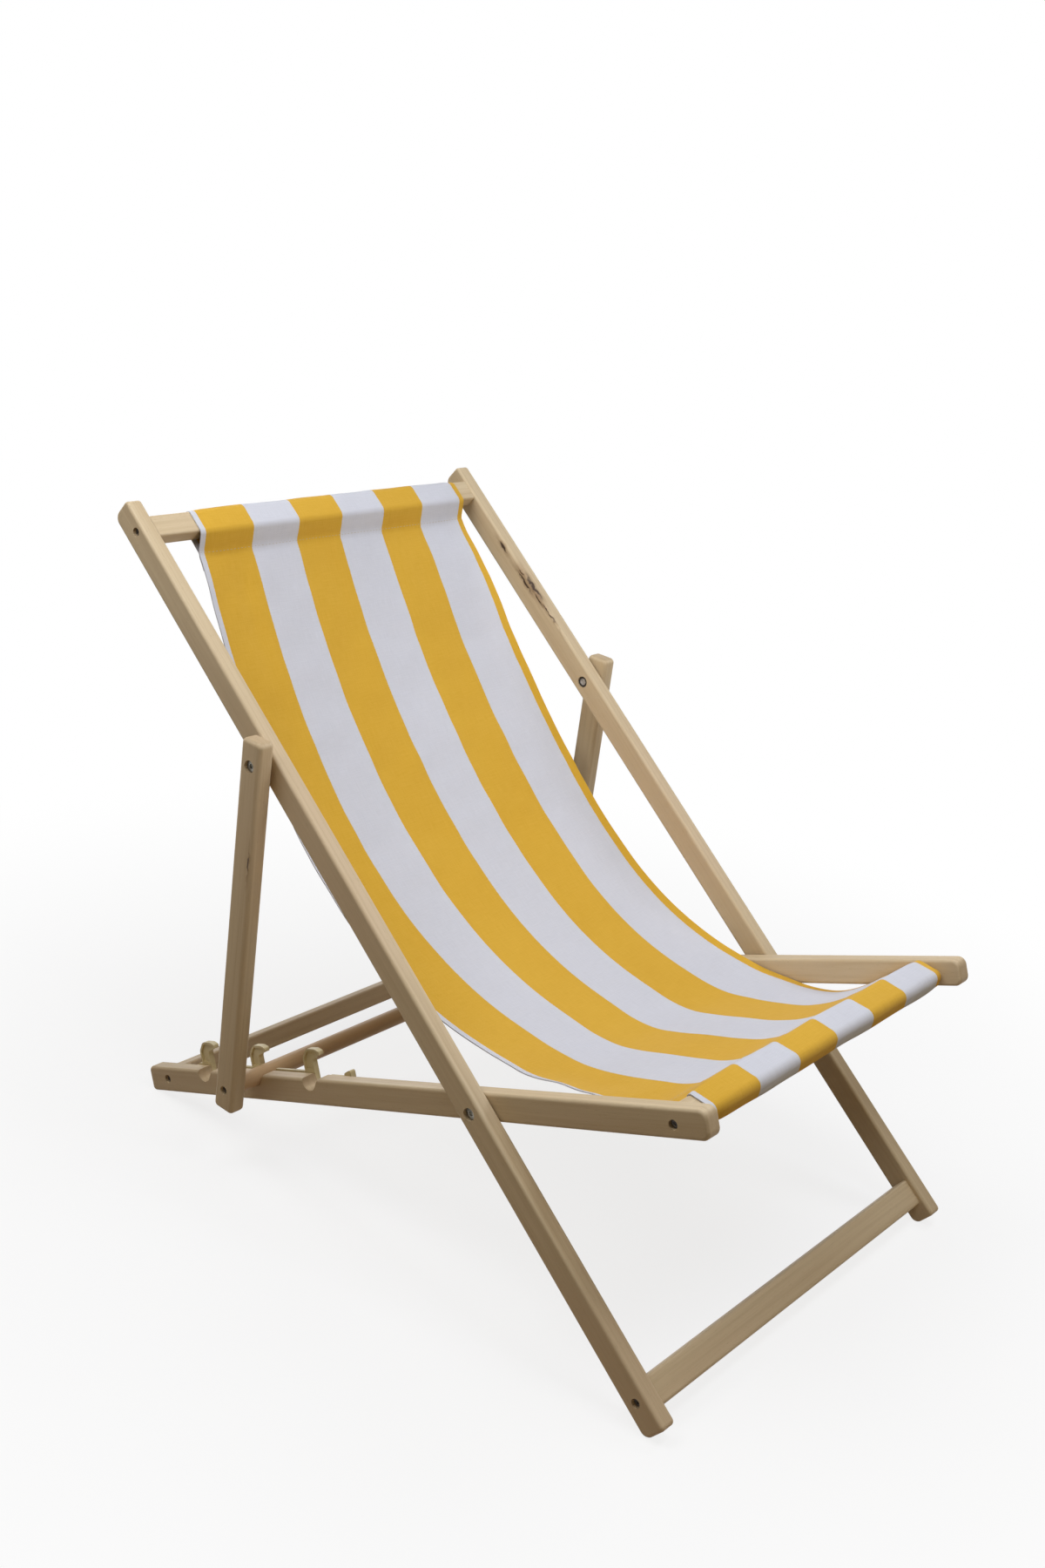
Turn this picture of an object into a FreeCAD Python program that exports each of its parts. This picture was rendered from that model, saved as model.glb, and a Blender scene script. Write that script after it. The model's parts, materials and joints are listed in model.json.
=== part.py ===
import FreeCAD, Part
import math
import os

# Folding beech deck chair with a canvas sling, standing in the middle of its three reclining positions.
# +Z is up, the sitter looks along -Y, and X runs across the chair: left is -X and right is +X.
# The origin is on the floor, under the middle of the chair's length and width. Sizes are in millimetres.

# Driving dimensions: the long rails
RAIL_DEPTH = 30.0
RAIL_THICK = 20.0
BACK_LENGTH = 1100.0
SEAT_LENGTH = 833.0
BACK_ANGLE = 38.8
SPREAD_ANGLE = 118.6
BACK_INNER_HALF = 252.5
SEAT_GAP = 1.8
PROP_GAP = 3.0
EDGE_EASE = 3.5
PROP_EDGE_EASE = 5.0

# Places along the rails: on the back rails from the foot, on the seat rails from the rear end
PIVOT_ON_BACK = 347.0
PIVOT_ON_SEAT = 556.0
PROP_PIVOT_ON_BACK = 767.0
TOP_BAR_ON_BACK = 1065.0
FOOT_BAR_ON_BACK = 34.0
FRONT_BAR_ON_SEAT = 794.0
REAR_BAR_ON_SEAT = 34.0
MIDDLE_NOTCH_ON_SEAT = 200.0
NOTCH_PITCH = 93.0

# Corner radii of the rails, seen from the side
FOOT_REAR_ROUND = 9.0
FOOT_FRONT_ROUND = 4.5
TOP_REAR_ROUND = 10.0
TOP_FRONT_ROUND = 4.5
SEAT_REAR_BOTTOM_ROUND = 5.0
SEAT_REAR_TOP_ROUND = 6.0
SEAT_FRONT_ROUND = 9.0
PROP_ROUND = 6.0
PROP_TOP_REACH = 29.0
PROP_BOTTOM_REACH = 26.0
FLOOR_CUT = 0.5
# How far a cutting tool reaches past the face that it opens
OVERRUN = 1.0

# Cross bars, set back a little from the rails' faces, and the dowel that joins the prop legs
BAR_WIDE = 28.0
BAR_THIN = 18.0
BAR_ROUND = 3.0
FOOT_BAR_WIDE = 31.0
REAR_BAR_WIDE = 24.0
TOP_BAR_RECESS = 2.0
FOOT_BAR_RECESS = 5.5
REAR_BAR_RECESS = 2.0
FRONT_BAR_TURN = 29.0
FRONT_BAR_DROP = 1.0
DOWEL_R = 10.0

# Notches, and the plastic catch strips with their hooks
NOTCH_R = 10.5
NOTCH_CENTRE_UP = 12.0
NOTCH_LEAD_ANGLE = 55.0
STRIP_THICK = 4.0
STRIP_REAR = 72.0
STRIP_FRONT = 342.0
STRIP_BOTTOM = -6.0
STRIP_TOP = 16.0
STRIP_FRONT_TOP = 13.0
STRIP_ROUND = 3.0
HOOK_THICK = 7.0
HOOK_POST_REAR = -27.0
HOOK_POST_FRONT = -11.0
HOOK_TIP = 2.0
HOOK_TOP = 42.0
HOOK_UNDERSIDE = 35.0
HOOK_THROAT = 31.0
HOOK_TIP_FALL = 3.0
HOOK_CROWN_ROUND = 8.0
HOOK_THROAT_ROUND = 4.0
HOOK_TIP_ROUND = 2.0
HOOK_FOOT_ROUND = 1.0
HOOK_RIM = 2.6
HOOK_WEB = 3.6
NUB_LENGTH = 11.0
NUB_REAR_TOP = 16.5
NUB_TOP = 21.0
NUB_ROUND = 2.5

# Fasteners
SCREW_HEAD_R = 4.4
SCREW_HEAD_HIGH = 2.4
SCREW_SHANK_R = 2.25
SCREW_LENGTH = 48.0
SCREW_RECESS_R = 5.0
SCREW_RECESS_DEEP = 6.0
SCREW_SOCKET = 4.0
BOLT_HEAD_R = 6.2
BOLT_HEAD_HIGH = 3.2
BOLT_SHANK_R = 4.0
BOLT_TIP_R = 3.0
BOLT_RECESS_R = 7.0
BOLT_RECESS_DEEP = 6.6
NUT_RECESS_DEEP = 4.6
BOLT_SOCKET = 5.0
NUT_HIGH = 3.6
WASHER_R = 9.0
HOLE_PLAY = 0.1
FACE_PLAY = 0.2
SMALL_SCREW_HEAD_R = 2.8
SMALL_SCREW_HEAD_HIGH = 1.8
SMALL_SCREW_SHANK_R = 1.5
SMALL_SCREW_LENGTH = 14.0
SMALL_SCREWS_ON_SEAT = (130.0, 225.0, 320.0)
SMALL_SCREW_UP = -1.0

# Canvas sling: a sheet with a sewn sleeve round the top bar and another round the front bar
SLING_LEFT = -198.5
SLING_RIGHT = 229.0
SLING_THICK = 1.2
SLEEVE_SLACK = 0.5
TOP_SEAM = (1034.0, -7.5)
FRONT_SEAM = (742.0, -6.0)
# The sheet's sag: below the top seam as (place on the back rail, depth in front of its centre line),
# then over the seat as (place on the seat rail, height above its centre line)
SAG_ON_BACK = ((1030.0, -9.0), (958.0, -34.0), (800.0, -75.0), (660.0, -89.0), (545.0, -80.0), (448.0, -54.0))
SAG_ON_SEAT = ((543.0, 10.5), (605.0, -6.0), (671.0, -11.0), (738.0, -6.5))

# Worked out from the driving dimensions
HALF_DEPTH = RAIL_DEPTH / 2
BACK_OUTER = BACK_INNER_HALF + RAIL_THICK
SEAT_OUTER = BACK_INNER_HALF - SEAT_GAP
SEAT_INNER = SEAT_OUTER - RAIL_THICK
PROP_INNER = BACK_OUTER + PROP_GAP
PROP_OUTER = PROP_INNER + RAIL_THICK
SEAT_ANGLE = 180.0 - SPREAD_ANGLE - BACK_ANGLE
NOTCHES = tuple(MIDDLE_NOTCH_ON_SEAT + step * NOTCH_PITCH for step in (-1, 0, 1))
SIDES = (("left", -1), ("right", 1))


def flat(y, z):
    """A point of the side view, where X doesn't matter."""
    return FreeCAD.Vector(0, y, z)


def side_frame(origin, along, off):
    """Gives a function from (distance along a rail, distance off its centre line) to a side view point."""
    return lambda a, o: origin + along * a + off * o


def direction(degrees):
    return flat(math.cos(math.radians(degrees)), math.sin(math.radians(degrees)))


# Side view: the foot's round corner sets the floor, the foot and the rail's top set the middle of the length
BACK_ALONG = direction(BACK_ANGLE)
BACK_OFF = direction(BACK_ANGLE + 90)
SEAT_ALONG = direction(180 - SEAT_ANGLE)
SEAT_OFF = direction(90 - SEAT_ANGLE)
rail = side_frame(flat(0, 0), BACK_ALONG, BACK_OFF)
LOWEST = rail(FOOT_REAR_ROUND, FOOT_REAR_ROUND - HALF_DEPTH).z - FOOT_REAR_ROUND
FOREMOST = rail(FOOT_FRONT_ROUND, HALF_DEPTH - FOOT_FRONT_ROUND).y - FOOT_FRONT_ROUND
REARMOST = rail(BACK_LENGTH - TOP_REAR_ROUND, TOP_REAR_ROUND - HALF_DEPTH).y + TOP_REAR_ROUND
FOOT = flat(-(FOREMOST + REARMOST) / 2, -LOWEST - FLOOR_CUT)

back = side_frame(FOOT, BACK_ALONG, BACK_OFF)
SEAT_PIVOT = back(PIVOT_ON_BACK, 0)
PROP_PIVOT = back(PROP_PIVOT_ON_BACK, 0)
seat = side_frame(SEAT_PIVOT - SEAT_ALONG * PIVOT_ON_SEAT, SEAT_ALONG, SEAT_OFF)
DOWEL = seat(MIDDLE_NOTCH_ON_SEAT, NOTCH_CENTRE_UP)
PROP_LENGTH = (DOWEL - PROP_PIVOT).Length
PROP_ALONG = (DOWEL - PROP_PIVOT).normalize()
PROP_OFF = flat(PROP_ALONG.z, -PROP_ALONG.y)
prop = side_frame(PROP_PIVOT, PROP_ALONG, PROP_OFF)


def rounded_wire(corners):
    """A closed outline from (point, radius) corners, its rounds made as tangent arcs."""
    rounds = []
    for index, (point, radius) in enumerate(corners):
        to_last = (corners[index - 1][0] - point).normalize()
        to_next = (corners[(index + 1) % len(corners)][0] - point).normalize()
        half = to_last.getAngle(to_next) / 2
        reach = radius / math.tan(half)
        inward = (to_last + to_next).normalize()
        crown = point + inward * (radius / math.sin(half) - radius)
        rounds.append((point + to_last * reach, crown, point + to_next * reach))
    edges = []
    for index, (enter, crown, leave) in enumerate(rounds):
        edges.append(Part.Arc(enter, crown, leave).toShape())
        edges.append(Part.makeLine(leave, rounds[(index + 1) % len(rounds)][0]))
    return Part.Wire(edges)


def prism(wire, x_from, x_to):
    """The solid that an outline sweeps across the chair."""
    low, high = sorted((x_from, x_to))
    face = Part.Face(wire)
    face.translate(FreeCAD.Vector(low, 0, 0))
    return face.extrude(FreeCAD.Vector(high - low, 0, 0))


def eased(solid, radius):
    """Rounds the edges of a prism's two end faces."""
    across = [edge for edge in solid.Edges if edge.BoundBox.XLength < 0.001]
    return solid.makeFillet(radius, across)


def rod(centre, radius, x_from, x_to):
    low, high = sorted((x_from, x_to))
    start = centre + FreeCAD.Vector(low, 0, 0)
    return Part.makeCylinder(radius, high - low, start, FreeCAD.Vector(1, 0, 0))


def box_outline(place, a_low, a_high, o_low, o_high, radius):
    """A rounded rectangle in a rail's own directions."""
    corners = ((a_low, o_low), (a_high, o_low), (a_high, o_high), (a_low, o_high))
    return rounded_wire([(place(a, o), radius) for a, o in corners])


def hexagon(centre, across_flats, x_from, x_to):
    reach = across_flats / math.sqrt(3)
    points = [centre + direction(60 * turn) * reach for turn in range(7)]
    return prism(Part.makePolygon(points), x_from, x_to)


# Screw places, as side view points
TOP_SCREW = back(TOP_BAR_ON_BACK, HALF_DEPTH - TOP_BAR_RECESS - BAR_THIN / 2)
FOOT_SCREW = back(FOOT_BAR_ON_BACK, HALF_DEPTH - FOOT_BAR_RECESS - BAR_THIN / 2)
FRONT_SCREW = seat(FRONT_BAR_ON_SEAT, -FRONT_BAR_DROP)
REAR_SCREW = seat(REAR_BAR_ON_SEAT, HALF_DEPTH - REAR_BAR_RECESS - REAR_BAR_WIDE / 2)


def screw_room(centre, face, side):
    """What a screw takes out of a rail: a recess for its head and a hole for its shank."""
    recess = rod(centre, SCREW_RECESS_R, side * (face + OVERRUN), side * (face - SCREW_RECESS_DEEP))
    hole = rod(centre, SCREW_SHANK_R + HOLE_PLAY, side * face, side * (face - SCREW_LENGTH - OVERRUN))
    return recess.fuse(hole)


def screw(centre, face, side):
    """A cylinder head screw with a hexagon socket, its head on the floor of the recess."""
    floor = face - SCREW_RECESS_DEEP
    top = floor + SCREW_HEAD_HIGH
    head = rod(centre, SCREW_HEAD_R, side * floor, side * top)
    shank = rod(centre, SCREW_SHANK_R, side * (floor - SCREW_LENGTH + SCREW_RECESS_DEEP), side * floor)
    socket = hexagon(centre, SCREW_SOCKET, side * (top - SCREW_HEAD_HIGH / 2), side * (top + OVERRUN))
    return head.fuse(shank).cut(socket).removeSplitter()


def bolt_room(centre, outer, inner, side):
    """What a pivot bolt takes out of two rails: a recess at each end and a hole between."""
    head = rod(centre, BOLT_RECESS_R, side * (outer + OVERRUN), side * (outer - BOLT_RECESS_DEEP))
    nut = rod(centre, BOLT_RECESS_R, side * (inner - OVERRUN), side * (inner + NUT_RECESS_DEEP))
    hole = rod(centre, BOLT_SHANK_R + HOLE_PLAY, side * inner, side * outer)
    return head.fuse(nut).fuse(hole)


def pivot_bolt(centre, outer, inner, head_play, nut_play, side):
    """A shoulder bolt: its head outside, its shoulder through both rails, its tip in the nut."""
    floor = outer - BOLT_RECESS_DEEP + head_play
    top = floor + BOLT_HEAD_HIGH
    shoulder = inner + NUT_RECESS_DEEP - nut_play
    head = rod(centre, BOLT_HEAD_R, side * floor, side * top)
    shank = rod(centre, BOLT_SHANK_R, side * shoulder, side * floor)
    tip = rod(centre, BOLT_TIP_R, side * (shoulder - NUT_HIGH / 2), side * shoulder)
    socket = hexagon(centre, BOLT_SOCKET, side * (top - BOLT_HEAD_HIGH / 2), side * (top + OVERRUN))
    return head.fuse(shank).fuse(tip).cut(socket).removeSplitter()


def pivot_nut(centre, inner, nut_play, side):
    """The flat nut that closes a pivot bolt."""
    seated = inner + NUT_RECESS_DEEP - nut_play
    disc = rod(centre, BOLT_HEAD_R, side * (seated - NUT_HIGH), side * seated)
    thread = rod(centre, BOLT_TIP_R + HOLE_PLAY, side * (seated - NUT_HIGH / 2), side * seated)
    return disc.cut(thread)


def washer(centre, carrier, thickness, side):
    """A spacer ring that lies against the face at carrier and reaches away from it by thickness."""
    ring = rod(centre, WASHER_R, side * carrier, side * (carrier + thickness))
    return ring.cut(rod(centre, BOLT_SHANK_R + HOLE_PLAY, side * carrier, side * (carrier + thickness)))


def back_rail(side):
    """Long rail of the back frame: foot at the front, round corners at its ends."""
    outline = rounded_wire([
        (back(0, HALF_DEPTH), FOOT_FRONT_ROUND),
        (back(BACK_LENGTH, HALF_DEPTH), TOP_FRONT_ROUND),
        (back(BACK_LENGTH, -HALF_DEPTH), TOP_REAR_ROUND),
        (back(0, -HALF_DEPTH), FOOT_REAR_ROUND),
    ])
    solid = eased(prism(outline, side * BACK_INNER_HALF, side * BACK_OUTER), EDGE_EASE)
    solid = solid.cut(screw_room(TOP_SCREW, BACK_OUTER, side))
    solid = solid.cut(screw_room(FOOT_SCREW, BACK_OUTER, side))
    solid = solid.cut(bolt_room(SEAT_PIVOT, BACK_OUTER, SEAT_INNER, side))
    solid = solid.cut(bolt_room(PROP_PIVOT, PROP_OUTER, BACK_INNER_HALF, side))
    return on_floor(solid)


def on_floor(solid):
    """Cuts the small flat that a foot stands on."""
    reach = BACK_LENGTH
    below = Part.makeBox(2 * reach, 2 * reach, reach, FreeCAD.Vector(-reach, -reach, -reach))
    return solid.cut(below)


def notch_room(side):
    """The three round-bottomed notches, cut through a seat rail and its catch strip.

    Their front walls lean forward, along the way that the dowel leaves when the chair folds.
    """
    lead = math.radians(NOTCH_LEAD_ANGLE)
    mouth_high = STRIP_TOP - NOTCH_CENTRE_UP + OVERRUN
    touch_a = NOTCH_R * math.sin(lead)
    touch_o = -NOTCH_R * math.cos(lead)
    front_a = touch_a + (mouth_high - touch_o) / math.tan(lead)
    corners = ((-NOTCH_R, 0), (touch_a, touch_o), (front_a, mouth_high), (-NOTCH_R, mouth_high))
    inner = SEAT_INNER - HOOK_THICK
    room = []
    for place in NOTCHES:
        round_bottom = rod(seat(place, NOTCH_CENTRE_UP), NOTCH_R, side * SEAT_OUTER, side * inner)
        points = [seat(place + a, NOTCH_CENTRE_UP + o) for a, o in corners]
        mouth = prism(Part.makePolygon(points + points[:1]), side * SEAT_OUTER, side * inner)
        room.append(round_bottom.fuse(mouth))
    return room


def seat_rail(side):
    """Long rail of the seat frame, notched at the rear for the prop's dowel."""
    outline = rounded_wire([
        (seat(0, -HALF_DEPTH), SEAT_REAR_BOTTOM_ROUND),
        (seat(SEAT_LENGTH, -HALF_DEPTH), SEAT_FRONT_ROUND),
        (seat(SEAT_LENGTH, HALF_DEPTH), SEAT_FRONT_ROUND),
        (seat(0, HALF_DEPTH), SEAT_REAR_TOP_ROUND),
    ])
    solid = eased(prism(outline, side * SEAT_INNER, side * SEAT_OUTER), EDGE_EASE)
    for room in notch_room(side):
        solid = solid.cut(room)
    solid = solid.cut(screw_room(FRONT_SCREW, SEAT_OUTER, side))
    solid = solid.cut(screw_room(REAR_SCREW, SEAT_OUTER, side))
    solid = solid.cut(bolt_room(SEAT_PIVOT, BACK_OUTER, SEAT_INNER, side))
    for place in SMALL_SCREWS_ON_SEAT:
        solid = solid.cut(small_screw_room(place, side))
    return on_floor(solid)


def prop_leg(side):
    """Leg outside the back rail, from its pivot down to the dowel."""
    corners = (
        (-PROP_TOP_REACH, -HALF_DEPTH),
        (PROP_LENGTH + PROP_BOTTOM_REACH, -HALF_DEPTH),
        (PROP_LENGTH + PROP_BOTTOM_REACH, HALF_DEPTH),
        (-PROP_TOP_REACH, HALF_DEPTH),
    )
    outline = rounded_wire([(prop(a, o), PROP_ROUND) for a, o in corners])
    solid = eased(prism(outline, side * PROP_INNER, side * PROP_OUTER), PROP_EDGE_EASE)
    solid = solid.cut(screw_room(DOWEL, PROP_OUTER, side))
    return solid.cut(bolt_room(PROP_PIVOT, PROP_OUTER, BACK_INNER_HALF, side))


def cross_bar(outline, half_length, screw_place, face):
    """A bar between two rails, with a hole in each end for its screw."""
    solid = prism(outline, -half_length, half_length)
    for _, side in SIDES:
        solid = solid.cut(screw_room(screw_place, face, side))
    return solid


def bar_outline(place, a_low, a_wide, o_low, o_wide):
    return box_outline(place, a_low, a_low + a_wide, o_low, o_low + o_wide, BAR_ROUND)


def top_bar():
    """Bar at the top of the back frame, inside the sling's upper sleeve."""
    low = TOP_BAR_ON_BACK - BAR_WIDE / 2
    outline = bar_outline(back, low, BAR_WIDE, HALF_DEPTH - TOP_BAR_RECESS - BAR_THIN, BAR_THIN)
    return cross_bar(outline, BACK_INNER_HALF, TOP_SCREW, BACK_OUTER)


def foot_bar():
    """Bar near the feet of the back frame, wider than the others."""
    low = FOOT_BAR_ON_BACK - FOOT_BAR_WIDE / 2
    outline = bar_outline(back, low, FOOT_BAR_WIDE, HALF_DEPTH - FOOT_BAR_RECESS - BAR_THIN, BAR_THIN)
    return cross_bar(outline, BACK_INNER_HALF, FOOT_SCREW, BACK_OUTER)


def front_frame():
    """Side view directions of the seat's front bar, which is turned to lie nearly level."""
    along = direction(180 - SEAT_ANGLE + FRONT_BAR_TURN)
    return side_frame(FRONT_SCREW, along, direction(90 - SEAT_ANGLE + FRONT_BAR_TURN))


def seat_front_bar():
    """Bar at the front of the seat frame, inside the sling's lower sleeve."""
    outline = bar_outline(front_frame(), -BAR_WIDE / 2, BAR_WIDE, -BAR_THIN / 2, BAR_THIN)
    return cross_bar(outline, SEAT_INNER, FRONT_SCREW, SEAT_OUTER)


def seat_rear_bar():
    """Bar at the rear of the seat frame, on edge."""
    low = REAR_BAR_ON_SEAT - BAR_THIN / 2
    outline = bar_outline(seat, low, BAR_THIN, HALF_DEPTH - REAR_BAR_RECESS - REAR_BAR_WIDE, REAR_BAR_WIDE)
    return cross_bar(outline, SEAT_INNER, REAR_SCREW, SEAT_OUTER)


def prop_dowel():
    """Round dowel between the prop legs, lying in the middle notches."""
    solid = rod(DOWEL, DOWEL_R, -PROP_INNER, PROP_INNER)
    for _, side in SIDES:
        solid = solid.cut(screw_room(DOWEL, PROP_OUTER, side))
    return solid


def small_screw_room(place, side):
    centre = seat(place, SMALL_SCREW_UP)
    surface = SEAT_INNER - STRIP_THICK
    seated = surface + SMALL_SCREW_HEAD_HIGH
    deepest = surface + SMALL_SCREW_LENGTH + OVERRUN
    head = rod(centre, SMALL_SCREW_HEAD_R + HOLE_PLAY, side * (surface - OVERRUN), side * seated)
    shank = rod(centre, SMALL_SCREW_SHANK_R + HOLE_PLAY, side * surface, side * deepest)
    return head.fuse(shank)


def small_screw(place, side):
    """Screw that holds a catch strip to its rail, its head flush with the strip."""
    centre = seat(place, SMALL_SCREW_UP)
    surface = SEAT_INNER - STRIP_THICK
    seated = surface + SMALL_SCREW_HEAD_HIGH
    head = rod(centre, SMALL_SCREW_HEAD_R, side * surface, side * seated)
    shank = rod(centre, SMALL_SCREW_SHANK_R, side * seated, side * (surface + SMALL_SCREW_LENGTH))
    return head.fuse(shank).removeSplitter()


def hook_outline(place, foot):
    """A post behind its notch, standing at foot, whose beak curves forward over the dowel."""
    crown_rear = (HOOK_POST_REAR + HOOK_POST_FRONT) / 2
    crown_front = (HOOK_POST_FRONT + HOOK_TIP) / 2
    corners = (
        (HOOK_POST_REAR, foot, HOOK_FOOT_ROUND),
        (HOOK_POST_REAR, HOOK_THROAT, HOOK_CROWN_ROUND),
        (crown_rear, HOOK_TOP, HOOK_CROWN_ROUND),
        (crown_front, HOOK_TOP, HOOK_CROWN_ROUND),
        (HOOK_TIP, HOOK_TOP - HOOK_TIP_FALL, HOOK_TIP_ROUND),
        (HOOK_TIP, HOOK_UNDERSIDE, HOOK_TIP_ROUND),
        (HOOK_POST_FRONT, HOOK_THROAT, HOOK_THROAT_ROUND),
        (HOOK_POST_FRONT, foot, HOOK_FOOT_ROUND),
    )
    return rounded_wire([(seat(place + a, o), radius) for a, o, radius in corners])


def hook(place, side):
    """A hook with a raised rim on both faces round its thinner web."""
    outer = SEAT_INNER
    inner = SEAT_INNER - HOOK_THICK
    pocket_deep = (HOOK_THICK - HOOK_WEB) / 2
    solid = prism(hook_outline(place, 0), side * inner, side * outer)
    pocket = Part.Face(hook_outline(place, STRIP_TOP)).makeOffset2D(-HOOK_RIM).OuterWire
    solid = solid.cut(prism(pocket, side * (outer - pocket_deep), side * (outer + OVERRUN)))
    return solid.cut(prism(pocket, side * (inner - OVERRUN), side * (inner + pocket_deep)))


def nub_outline():
    """A small wedge at the strip's front end, higher at its front."""
    rear = STRIP_FRONT - NUB_LENGTH
    corners = (
        (rear, 0, HOOK_FOOT_ROUND),
        (rear, NUB_REAR_TOP, NUB_ROUND),
        (STRIP_FRONT, NUB_TOP, NUB_ROUND),
        (STRIP_FRONT, 0, HOOK_FOOT_ROUND),
    )
    return rounded_wire([(seat(a, o), radius) for a, o, radius in corners])


def catch_strip(side):
    """Plastic strip on a seat rail's inner face, with a hook behind each notch and a nub in front."""
    inner = SEAT_INNER - STRIP_THICK
    last_notch = max(NOTCHES)
    rear_plate = box_outline(seat, STRIP_REAR, last_notch, STRIP_BOTTOM, STRIP_TOP, STRIP_ROUND)
    front_plate = box_outline(
        seat, last_notch - NOTCH_R, STRIP_FRONT, STRIP_BOTTOM, STRIP_FRONT_TOP, STRIP_ROUND
    )
    solid = prism(rear_plate, side * inner, side * SEAT_INNER)
    solid = solid.fuse(prism(front_plate, side * inner, side * SEAT_INNER))
    for room in notch_room(side):
        solid = solid.cut(room)
    for place in NOTCHES:
        solid = solid.fuse(hook(place, side))
    solid = solid.fuse(prism(nub_outline(), side * (SEAT_INNER - HOOK_THICK), side * SEAT_INNER))
    for place in SMALL_SCREWS_ON_SEAT:
        solid = solid.cut(small_screw_room(place, side))
    return solid.removeSplitter()


def sleeve(place, a_half, o_half, seam):
    """Outer and inner outline of a sleeve: the bar's section drawn in to a seam."""
    a_core = a_half - BAR_ROUND
    o_core = o_half - BAR_ROUND
    far_side = [place(a_core, -o_core), place(a_core, o_core)]
    core = far_side + [place(-a_core, o_core), seam, place(-a_core, -o_core)]
    face = Part.Face(Part.makePolygon(core + core[:1]))
    inner = face.makeOffset2D(BAR_ROUND + SLEEVE_SLACK)
    outer = face.makeOffset2D(BAR_ROUND + SLEEVE_SLACK + SLING_THICK)
    return outer.OuterWire, inner.OuterWire


def sheet_outline():
    """The sagging sheet between the seams, as two smooth curves a canvas thickness apart."""
    points = [back(a, o) for a, o in SAG_ON_BACK] + [seat(a, o) for a, o in SAG_ON_SEAT]
    middle = Part.BSplineCurve()
    middle.interpolate(points)
    sides = []
    for shift in (-SLING_THICK / 2, SLING_THICK / 2):
        moved = []
        for point in points:
            heading = middle.tangent(middle.parameter(point))[0]
            moved.append(point + flat(heading.z, -heading.y) * shift)
        sides.append(moved)
    curves = []
    for moved in sides:
        curve = Part.BSplineCurve()
        curve.interpolate(moved)
        curves.append(curve.toShape())
    ends = [Part.makeLine(sides[0][end], sides[1][end]) for end in (0, -1)]
    return Part.Wire(Part.__sortEdges__(curves + ends))


def sling():
    """One canvas sheet that hangs between the top bar and the seat's front bar."""
    bar_centre = side_frame(TOP_SCREW, BACK_ALONG, BACK_OFF)
    sleeves = (
        sleeve(bar_centre, BAR_WIDE / 2, BAR_THIN / 2, back(*TOP_SEAM)),
        sleeve(front_frame(), BAR_WIDE / 2, BAR_THIN / 2, seat(*FRONT_SEAM)),
    )
    solid = prism(sheet_outline(), SLING_LEFT, SLING_RIGHT)
    for outer, _ in sleeves:
        solid = solid.fuse(prism(outer, SLING_LEFT, SLING_RIGHT))
    for _, inner in sleeves:
        solid = solid.cut(prism(inner, SLING_LEFT - OVERRUN, SLING_RIGHT + OVERRUN))
    return solid.removeSplitter()


def both(make):
    """Left and right copies of a fastener, kept as one group."""
    return Part.makeCompound([make(side) for _, side in SIDES])


def main_bolt(side):
    return pivot_bolt(SEAT_PIVOT, BACK_OUTER, SEAT_INNER, 0, FACE_PLAY, side)


def prop_bolt(side):
    return pivot_bolt(PROP_PIVOT, PROP_OUTER, BACK_INNER_HALF, FACE_PLAY, 0, side)


def main_washer(side):
    return washer(SEAT_PIVOT, BACK_INNER_HALF, FACE_PLAY - SEAT_GAP, side)


def prop_washer(side):
    return washer(PROP_PIVOT, BACK_OUTER, PROP_GAP - FACE_PLAY, side)


def catch_screws(side):
    return Part.makeCompound([small_screw(place, side) for place in SMALL_SCREWS_ON_SEAT])


nodes = {
    "top_bar": top_bar(),
    "foot_bar": foot_bar(),
    "seat_front_bar": seat_front_bar(),
    "seat_rear_bar": seat_rear_bar(),
    "prop_dowel": prop_dowel(),
    "sling": sling(),
    "top_bar_screws": both(lambda side: screw(TOP_SCREW, BACK_OUTER, side)),
    "foot_bar_screws": both(lambda side: screw(FOOT_SCREW, BACK_OUTER, side)),
    "seat_front_screws": both(lambda side: screw(FRONT_SCREW, SEAT_OUTER, side)),
    "seat_rear_screws": both(lambda side: screw(REAR_SCREW, SEAT_OUTER, side)),
    "dowel_screws": both(lambda side: screw(DOWEL, PROP_OUTER, side)),
    "seat_pivot_bolts": both(main_bolt),
    "seat_pivot_nuts": both(lambda side: pivot_nut(SEAT_PIVOT, SEAT_INNER, FACE_PLAY, side)),
    "seat_pivot_washers": both(main_washer),
    "prop_pivot_bolts": both(prop_bolt),
    "prop_pivot_nuts": both(lambda side: pivot_nut(PROP_PIVOT, BACK_INNER_HALF, 0, side)),
    "prop_pivot_washers": both(prop_washer),
    "catch_screws": both(catch_screws),
}
for name, side in SIDES:
    nodes["back_rail_" + name] = back_rail(side)
    nodes["seat_rail_" + name] = seat_rail(side)
    nodes["prop_leg_" + name] = prop_leg(side)
    nodes["catch_strip_" + name] = catch_strip(side)

os.makedirs("parts", exist_ok=True)
for name, shape in nodes.items():
    shape.exportStep("parts/" + name + ".step")

for label, place in (("seat pivot", SEAT_PIVOT), ("prop pivot", PROP_PIVOT), ("dowel", DOWEL)):
    print(label, round(place.y, 3), round(place.z, 3))
print("prop length", round(PROP_LENGTH, 3))
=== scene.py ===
import bmesh
import bpy
import json
import math
from mathutils import Matrix, Vector, noise


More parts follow.
